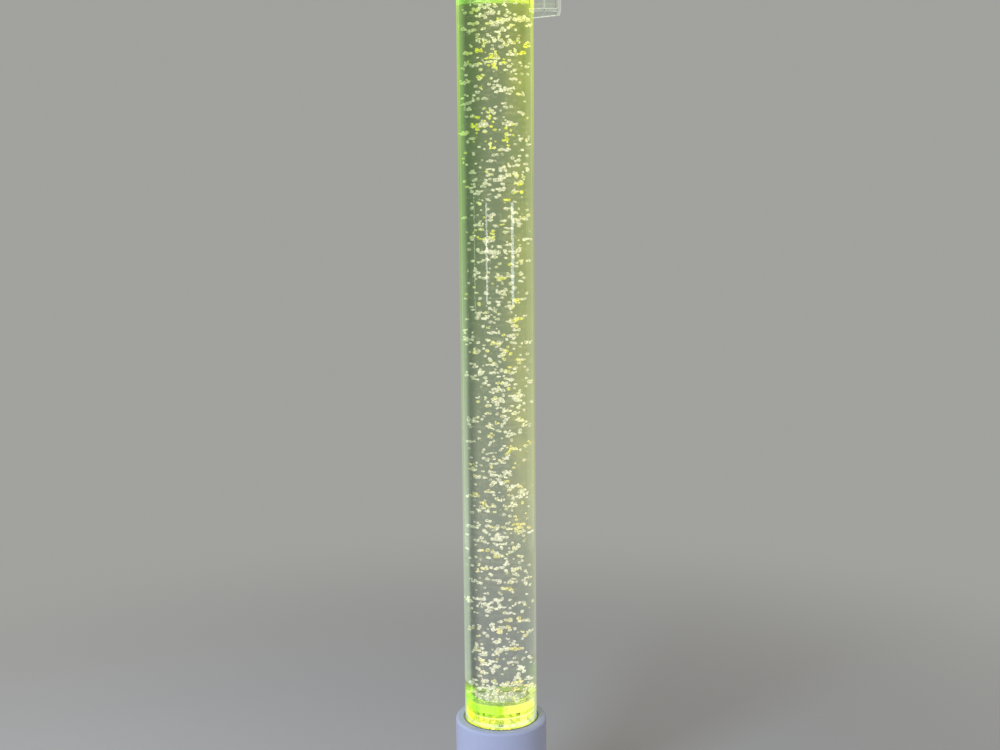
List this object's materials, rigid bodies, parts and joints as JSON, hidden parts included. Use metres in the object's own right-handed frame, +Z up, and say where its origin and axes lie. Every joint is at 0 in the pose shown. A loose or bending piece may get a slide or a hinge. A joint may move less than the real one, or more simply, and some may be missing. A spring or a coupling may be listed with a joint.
{
  "type": "bubble tube floor lamp",
  "caption": "Clear water column with rising lit bubbles on a round white base, steadied by a clear wall bracket near its top.",
  "frame": {"origin": "the middle of the rubber foot ring on the floor, on the tube's axis", "axes": "+Z up along the tube's axis, +X towards the wall bracket, +Y towards the service panel with the drain tap, switch and power socket; -Y is the side that the picture shows"},
  "size_m": [0.222, 0.2264, 1.899],
  "materials": {
    "white_shell": "satin",
    "dark_seal": "satin",
    "black_rubber": "matte",
    "plate_steel": "satin",
    "screw_steel": "satin",
    "alloy": "satin",
    "collar_plastic": "satin",
    "circuit_board": "satin",
    "led_chip": "gloss",
    "clear_post": "gloss",
    "clear_light_plate": "gloss",
    "brass_screw": "satin",
    "clear_tube": "gloss",
    "clear_plug": "gloss",
    "clear_air_plate": "gloss",
    "lit_water": "gloss",
    "brass_fitting": "satin",
    "clear_hose": "gloss",
    "tap_chrome": "polished",
    "white_plastic": "satin",
    "red_handle": "satin",
    "pump_shell": "matte",
    "core_iron": "matte",
    "copper_coil": "satin",
    "black_plastic": "satin",
    "wire_cover": "satin",
    "clear_lid": "gloss",
    "clear_bracket": "gloss"
  },
  "bodies": {
    "lamp": {"base_housing": "white_shell", "base_cover": "white_shell", "tube_seal": "dark_seal", "bottom_plate": "plate_steel", "foot_ring": "black_rubber", "case_screws": "screw_steel", "rear_panel": "alloy", "small_screws": "screw_steel", "deck_plate": "alloy", "tube_collar": "collar_plastic", "led_board": "circuit_board", "leds": "led_chip", "light_posts": "clear_post", "light_plate": "clear_light_plate", "post_screws": "brass_screw", "tube": "clear_tube", "tube_plug": "clear_plug", "air_plate": "clear_air_plate", "water": "lit_water", "air_fitting": "brass_fitting", "port_seals": "black_rubber", "drain_fitting": "brass_fitting", "drain_hose": "clear_hose", "drain_elbow": "brass_fitting", "tap_body": "tap_chrome", "tap_nut": "tap_chrome", "ball_seats": "white_plastic", "tap_spout": "tap_chrome", "air_hose_upper": "clear_hose", "air_hose_lower": "clear_hose", "check_valve": "white_plastic", "pump_base": "pump_shell", "pump_cover": "pump_shell", "pump_feet": "black_rubber", "pump_core": "core_iron", "pump_coil": "copper_coil", "arm_pin": "screw_steel", "pump_bellows": "black_rubber", "valve_block": "white_plastic", "power_socket": "black_plastic", "socket_nut": "screw_steel", "switch_body": "black_plastic", "control_board": "circuit_board", "board_parts": "black_plastic", "wiring": "wire_cover", "bracket_floor": "clear_bracket", "bracket_front": "clear_bracket", "bracket_rear": "clear_bracket", "bracket_rib": "clear_bracket", "bracket_end": "clear_bracket"},
    "lid": {"lid": "clear_lid", "lid_knob": "clear_lid"},
    "rocker": {"switch_rocker": "black_plastic"},
    "tap_handle": {"tap_ball": "screw_steel", "tap_stem": "screw_steel", "tap_lever": "red_handle"},
    "pump_armature": {"pump_arm": "alloy", "pump_magnet": "core_iron"},
    "valve_disc": {"valve_disc": "black_rubber"}
  },
  "joints": [
    {"name": "lid_lift", "type": "slide", "parent": "lamp", "child": "lid", "axis": [0, 0, 1], "range_m": [0, 0.15]},
    {"name": "rocker_tip", "type": "hinge", "parent": "lamp", "child": "rocker", "pos_m": [0.021, 0.07993, 0.092], "axis": [-1, 0, 0], "range_deg": [0, 16]},
    {"name": "tap_turn", "type": "hinge", "parent": "lamp", "child": "tap_handle", "pos_m": [0, 0.09643, 0.045], "axis": [0, 0, 1], "range_deg": [0, 90]},
    {"name": "arm_swing", "type": "hinge", "parent": "lamp", "child": "pump_armature", "pos_m": [0.038, 0, 0.046], "axis": [0, 1, 0], "range_deg": [-1.5, 1.5], "stiffness_Nm_per_rad": 5.5, "deforming": ["pump_bellows"]},
    {"name": "disc_lift", "type": "slide", "parent": "lamp", "child": "valve_disc", "axis": [0, 0, 1], "range_m": [0, 0.002]}
  ]
}
